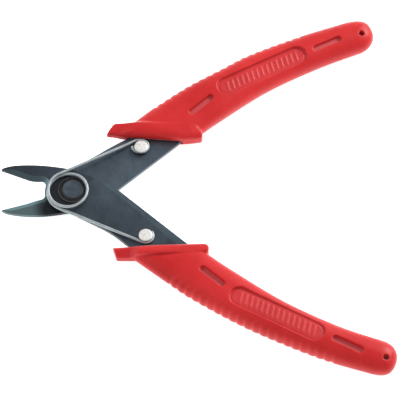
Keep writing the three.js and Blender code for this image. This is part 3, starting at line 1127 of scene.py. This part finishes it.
def floor_paper():
    n = Nodes("floor_paper")
    cloud = n.noise(40, 3, 0.5)
    base = n.ramp(cloud, "Fac", [(0.2, (0.90, 0.90, 0.90)), (0.8, (0.94, 0.94, 0.94))])
    n.link(base, "Color", n.shader, "Base Color")
    n.shader.inputs["Roughness"].default_value = 0.9
    n.shader.inputs["Specular IOR Level"].default_value = 0.1
    n.shader.inputs["Emission Color"].default_value = (1, 1, 1, 1)
    n.shader.inputs["Emission Strength"].default_value = 0.8
    return n.material


def finish_with(obj, body, nodes, material):
    obj.data.materials.append(material)
    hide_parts(*nodes)
    if body:
        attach(obj, body)


# ---------------------------------------------------------------- the tool
red = red_plastic()
rear_steel = blacked_steel(
    "blacked_steel_rear",
    dark=(0.067, 0.087, 0.113), light=(0.096, 0.122, 0.152), teal=(0.108, 0.15, 0.178),
    turn=0.3, jaw=(0.13, 0.19, 0.195), jaw_strength=0.8, root_darkening=0.88,
)
front_steel = blacked_steel(
    "blacked_steel_front",
    dark=(0.045, 0.058, 0.077), light=(0.064, 0.082, 0.104), teal=(0.074, 0.103, 0.124),
    turn=-0.3, jaw=(0.034, 0.043, 0.054), jaw_strength=0.6, root_darkening=0.0,
)
rivet_finish = rivet_steel()
wire = wire_steel()
pale = pin_steel()

piece = grip("grip_rear", 1, REAR_SEAT, REAR_PLAN, REAR_STAMP)
finish_with(piece, "rear_half", ["rear_grip"], red)
piece = grip("grip_front", -1, FRONT_SEAT, FRONT_PLAN, FRONT_STAMP)
finish_with(piece, "front_half", ["front_grip"], red)
piece = blade("blade_rear", 1, REAR_PIN, REAR_STAMP)
finish_with(piece, "rear_half", ["rear_blade"], rear_steel)
piece = blade("blade_front", -1, FRONT_PIN, FRONT_STAMP)
finish_with(piece, "front_half", ["front_blade"], front_steel)
piece = rivet("rivet")
finish_with(piece, "front_half", ["pivot_rivet"], rivet_finish)
piece = pin_piece("pin_rear", REAR_PIN, 1)
finish_with(piece, "rear_half", ["rear_spring_pin"], pale)
piece = pin_piece("pin_front", FRONT_PIN, -1)
finish_with(piece, "front_half", ["front_spring_pin"], pale)

spring = tube("spring", spring_path(), WIRE / 2)
finish_with(spring, None, ["torsion_spring"], wire)
# The wire bends from one half to the other across the pivot.
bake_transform(spring)

# ---------------------------------------------------------------- floor, lights, camera
FLOOR_SIZE = 1.5
VIEW_CENTRE = (39.2538, -2.6743)   # mm from the pivot
ELEVATION = math.radians(60)
DISTANCE = 0.75
LENS = 218.7                       # for a 36 mm sensor
SKY_STRENGTH = 0.85
SKY = ((0.15, 1.0), (0.8, 0.55))   # height and grey: bright at the horizon, dimmer overhead

bm = bmesh.new()
bmesh.ops.create_grid(bm, x_segments=8, y_segments=8, size=FLOOR_SIZE)
floor_mesh = bpy.data.meshes.new("floor")
bm.to_mesh(floor_mesh)
bm.free()
floor = bpy.data.objects.new("floor", floor_mesh)
bpy.context.scene.collection.objects.link(floor)
floor.data.materials.append(floor_paper())


def soft_light(name, place, size, power):
    """A square light aimed at the origin."""
    data = bpy.data.lights.new(name, "AREA")
    data.shape = "RECTANGLE"
    data.size = data.size_y = size
    data.energy = power
    light = bpy.data.objects.new(name, data)
    light.location = place
    light.rotation_euler = (-Vector(place)).to_track_quat("-Z", "Y").to_euler()
    bpy.context.scene.collection.objects.link(light)


soft_light("key", (0.66, 0.54, 0.6), 0.48, 9.5)
soft_light("side", (-0.7, 0.1, 0.45), 0.5, 1.6)

world = bpy.data.worlds.new("studio")
bpy.context.scene.world = world
world.use_nodes = True
background = world.node_tree.nodes["Background"]
background.inputs["Strength"].default_value = SKY_STRENGTH
sky = world.node_tree.nodes.new("ShaderNodeTexCoord")
split = world.node_tree.nodes.new("ShaderNodeSeparateXYZ")
fade = world.node_tree.nodes.new("ShaderNodeValToRGB")
world.node_tree.links.new(sky.outputs["Generated"], split.inputs["Vector"])
world.node_tree.links.new(split.outputs["Z"], fade.inputs["Fac"])
world.node_tree.links.new(fade.outputs["Color"], background.inputs["Color"])
for element, (position, grey) in zip(fade.color_ramp.elements, SKY):
    element.position = position
    element.color = (grey, grey, grey, 1)

target = PIVOT + Vector((*VIEW_CENTRE, 0)) * MM
view_back = Vector((0, -math.cos(ELEVATION), math.sin(ELEVATION)))
camera_data = bpy.data.cameras.new("camera")
camera_data.sensor_width = 36
camera_data.lens = LENS
camera_data.clip_start = 0.05
camera = bpy.data.objects.new("camera", camera_data)
camera.location = target + view_back * DISTANCE
camera.rotation_euler = view_back.to_track_quat("Z", "Y").to_euler()
bpy.context.scene.collection.objects.link(camera)
bpy.context.scene.camera = camera
bpy.context.scene.view_settings.view_transform = "Standard"
bpy.context.scene.view_settings.look = "None"
